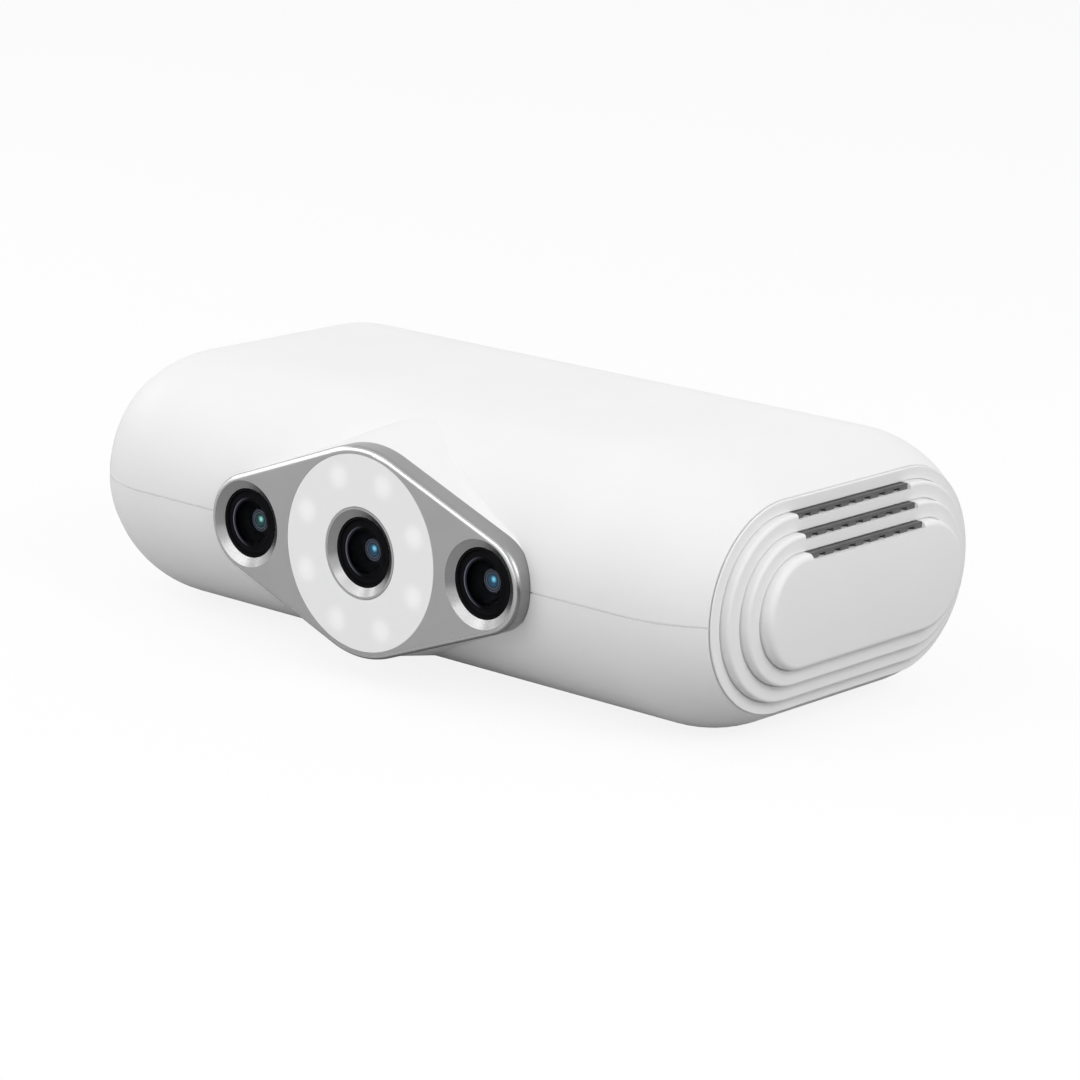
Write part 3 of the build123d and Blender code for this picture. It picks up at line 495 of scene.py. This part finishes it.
# Vent combs: a dark grey that stands in for the shade inside the slots, a painted shade
vent = plain_mix("vent_grey", (0.095, 0.095, 0.098), (0.125, 0.125, 0.128), 300.0, (0.50, 0.60),
                 grain=(6000.0, 0.15, 0.03 * MM))
shade(["vent_combs"], vent)
button = plain_mix("button_grey", (0.24, 0.245, 0.25), (0.28, 0.285, 0.29), 200.0, (0.28, 0.36),
                   grain=(7000.0, 0.08, 0.03 * MM))
shade(["scan_button"], button)
pipe = plain_mix("pipe_clear", (0.74, 0.80, 0.80), (0.82, 0.87, 0.87), 900.0, (0.10, 0.18))
shade(["status_light_pipe"], pipe)
brass = plain_mix("brass", (0.56, 0.40, 0.15), (0.66, 0.49, 0.20), 500.0, (0.24, 0.34),
                  metal=1.0, grain=(9000.0, 0.08, 0.02 * MM))
shade(["tripod_insert", "power_pin"], brass)

# Floor: a pale one for the camera, a darker one for the light that it throws back at the case
FLOOR_HALF = 3.0
FLOOR_DROP = 0.2 * MM
FLOOR_PALE = 0.96
FLOOR_WHITENESS = 0.86
BOUNCE_LEFT, BOUNCE_RIGHT = 0.47, 0.18
BOUNCE_FROM, BOUNCE_TO = 0.03, 0.17
# Sky: its strength at the horizon and overhead, and what is left of it on the right
SKY_LOW, SKY_HIGH = 1.00, 0.55
SKY_RIGHT = 0.50
RIGHT_FROM, RIGHT_TO = 0.25, 0.95
# Kinds of ray: the camera sees the pale floor, and all three see the sky as plain white
CAMERA_RAYS = ["Is Camera Ray"]
SURFACE_RAYS = ["Is Glossy Ray", "Is Transmission Ray"]


def is_ray(tree, names):
    """1 for rays of the named kinds, 0 for others."""
    path = add(tree, "ShaderNodeLightPath")
    total = path.outputs[names[0]]
    for name in names[1:]:
        total = maths(tree, "MAXIMUM", total, path.outputs[name])
    return total


def mix_shaders(tree, first, second):
    mix = add(tree, "ShaderNodeMixShader")
    tree.links.new(first, mix.inputs[1])
    tree.links.new(second, mix.inputs[2])
    return mix


def make_stage():
    half = FLOOR_HALF
    corners = [(-half, -half, 0), (half, -half, 0), (half, half, 0), (-half, half, 0)]
    mesh = bpy.data.meshes.new("floor")
    mesh.from_pydata(corners, [], [(0, 1, 2, 3)])
    floor = put("floor", mesh)
    floor.location.z = -FLOOR_DROP
    material, tree, shader = new_material("floor_pale")
    tree.nodes.remove(shader)
    x = split(tree, coords(tree))["X"]
    across = map_range(tree, x, BOUNCE_FROM, BOUNCE_TO, step="SMOOTHSTEP")
    bounce = add(tree, "ShaderNodeBsdfDiffuse")
    levels = ramp(tree, across, [(0.0, grey(BOUNCE_LEFT)), (1.0, grey(BOUNCE_RIGHT))])
    tree.links.new(levels, bounce.inputs["Color"])
    pale = add(tree, "ShaderNodeBsdfDiffuse")
    pale.inputs["Color"].default_value = (*grey(FLOOR_PALE), 1.0)
    bright = add(tree, "ShaderNodeEmission")
    bright.inputs["Color"].default_value = (*grey(1.0), 1.0)
    bright.inputs["Strength"].default_value = 1.0
    shown = mix_shaders(tree, pale.outputs["BSDF"], bright.outputs["Emission"])
    shown.inputs["Fac"].default_value = FLOOR_WHITENESS
    mix = mix_shaders(tree, bounce.outputs["BSDF"], shown.outputs["Shader"])
    tree.links.new(is_ray(tree, CAMERA_RAYS), mix.inputs["Fac"])
    tree.links.new(mix.outputs["Shader"], tree.nodes["Material Output"].inputs["Surface"])
    mesh.materials.append(material)


def make_world():
    """A soft studio, dimmer overhead and on the right, and plain white to the rays named above."""
    world = bpy.data.worlds.new("studio")
    bpy.context.scene.world = world
    world.use_nodes = True
    tree = world.node_tree
    place = split(tree, coords(tree, "Generated"))
    level = map_range(tree, place["Z"], 0.0, 1.0, SKY_LOW, SKY_HIGH, "SMOOTHSTEP")
    right = map_range(tree, place["X"], RIGHT_FROM, RIGHT_TO, 1.0, SKY_RIGHT, "SMOOTHSTEP")
    base = tree.nodes["Background"]
    base.inputs["Color"].default_value = (*grey(1.0), 1.0)
    tree.links.new(maths(tree, "MULTIPLY", level, right), base.inputs["Strength"])
    seen = add(tree, "ShaderNodeBackground")
    seen.inputs["Color"].default_value = (*grey(1.0), 1.0)
    seen.inputs["Strength"].default_value = 1.0
    mix = mix_shaders(tree, base.outputs["Background"], seen.outputs["Background"])
    tree.links.new(is_ray(tree, CAMERA_RAYS + SURFACE_RAYS), mix.inputs["Fac"])
    tree.links.new(mix.outputs["Shader"], tree.nodes["World Output"].inputs["Surface"])


def area(name, place, aim, along, size, power):
    """A soft rectangular lamp, its first side as nearly along a direction as its aim allows."""
    data = bpy.data.lights.new(name, "AREA")
    data.shape = "RECTANGLE"
    data.size, data.size_y = size
    data.energy = power
    place, along = Vector(place), Vector(along)
    back = (place - Vector(aim)).normalized()
    side = (along - back * back.dot(along)).normalized()
    put(name, data).matrix_world = pose(side, back.cross(side), back, place)


make_stage()
make_world()

# Lamps: name, place, what it aims at, direction of its first side, size and power
FRONT = (0.0, -0.043, 0.023)
RIGHT_END = (0.05, 0.0, 0.023)
area("right_soft", (0.80, -0.40, 0.52), RIGHT_END, (0.45, 0.9, 0.0), (0.6, 0.6), 1.2)
area("right_high", (0.70, -0.10, 0.75), RIGHT_END, (0.45, 0.9, 0.0), (0.6, 0.6), 1.3)
area("right_side", (0.92, 0.06, 0.54), RIGHT_END, (0.0, 1.0, 0.0), (0.6, 0.5), 2.4)
area("left_soft", (-0.84, -0.08, 0.42), FRONT, (0.0, 1.0, 0.0), (0.5, 0.28), 1.1)
area("arch_strip", (-0.14, -0.44, 0.67), FRONT, (-0.86, 0.34, 0.02), (1.0, 0.13), 0.58)
area("front_strip", (-0.28, -0.72, 0.44), FRONT, (1.0, -0.75, 0.0), (0.95, 0.08), 0.65)
area("edge_strip", (-0.53, -0.65, 0.22), FRONT, (-0.318, 0.252, -0.085), (0.50, 0.10), 0.25)

bpy.context.scene.view_settings.view_transform = "Standard"
